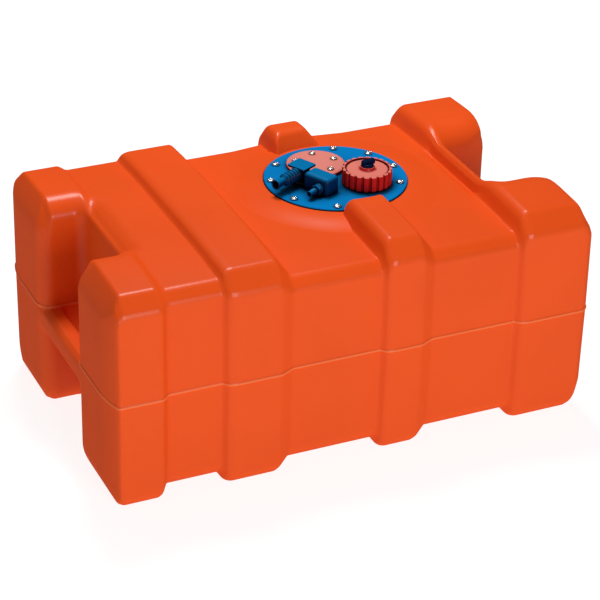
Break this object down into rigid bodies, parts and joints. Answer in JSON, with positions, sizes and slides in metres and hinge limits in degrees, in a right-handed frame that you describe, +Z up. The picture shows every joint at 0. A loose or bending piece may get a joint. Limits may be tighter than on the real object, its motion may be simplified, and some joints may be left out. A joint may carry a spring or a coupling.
{
  "type": "outboard fuel tank",
  "caption": "Fixed orange moulded fuel tank for an outboard boat, with raised bands, a hand grip at each end, and a round bolted top plate with screw filler cap, gauge cover and hose tails.",
  "frame": {"origin": "on the floor plane, under the middle of the moulded shell", "axes": "+X along the tank towards the end with the deeper hand grip, -Y towards the long side nearer the viewer, +Z up out of the top plate"},
  "size_m": [0.65, 0.394, 0.3144],
  "materials": {
    "orange_shell": "semi-gloss moulded",
    "blue_plastic": "satin moulded",
    "red_plastic": "satin moulded",
    "steel_screw": "stainless, bare",
    "brass": "turned",
    "black_rubber": "moulded nitrile",
    "clear_hose": "extruded",
    "white_plastic": "moulded"
  },
  "bodies": {
    "tank": {"tank_shell": "orange_shell", "seat_inserts": "brass", "plate_gasket": "black_rubber", "top_plate": "blue_plastic", "plate_screws": "steel_screw", "cover_gasket": "black_rubber", "gauge_cover": "red_plastic", "cover_inserts": "brass", "cover_screws": "steel_screw", "vent_elbow": "blue_plastic", "fuel_outlet": "blue_plastic", "barb_seal": "black_rubber", "fuel_barb": "blue_plastic", "fitting_seals": "black_rubber", "fitting_nuts": "blue_plastic", "pickup_tube": "clear_hose", "pickup_strainer": "white_plastic"},
    "cap_seal_ring": {"cap_seal": "black_rubber"},
    "cap": {"filler_cap": "red_plastic"},
    "vent_valve": {"vent_knob": "blue_plastic", "vent_spindle": "white_plastic", "spindle_seal": "black_rubber", "spindle_clip": "steel_screw"}
  },
  "joints": [
    {"name": "cap_rise", "type": "slide", "parent": "tank", "child": "cap_seal_ring", "axis": [0, 0, 1], "range_m": [0, 0.01]},
    {"name": "cap_turn", "type": "hinge", "parent": "cap_seal_ring", "child": "cap", "pos_m": [0.096, 0.001, 0.29], "axis": [0, 0, 1], "range_deg": [0, 720]},
    {"name": "vent_turn", "type": "hinge", "parent": "cap", "child": "vent_valve", "pos_m": [0.096, 0.001, 0.305], "axis": [0, 0, 1], "range_deg": [0, 90]}
  ],
  "couplings": [
    {"joint": "cap_rise", "follows": "cap_turn", "m_per_rad": 0.00079577}
  ]
}
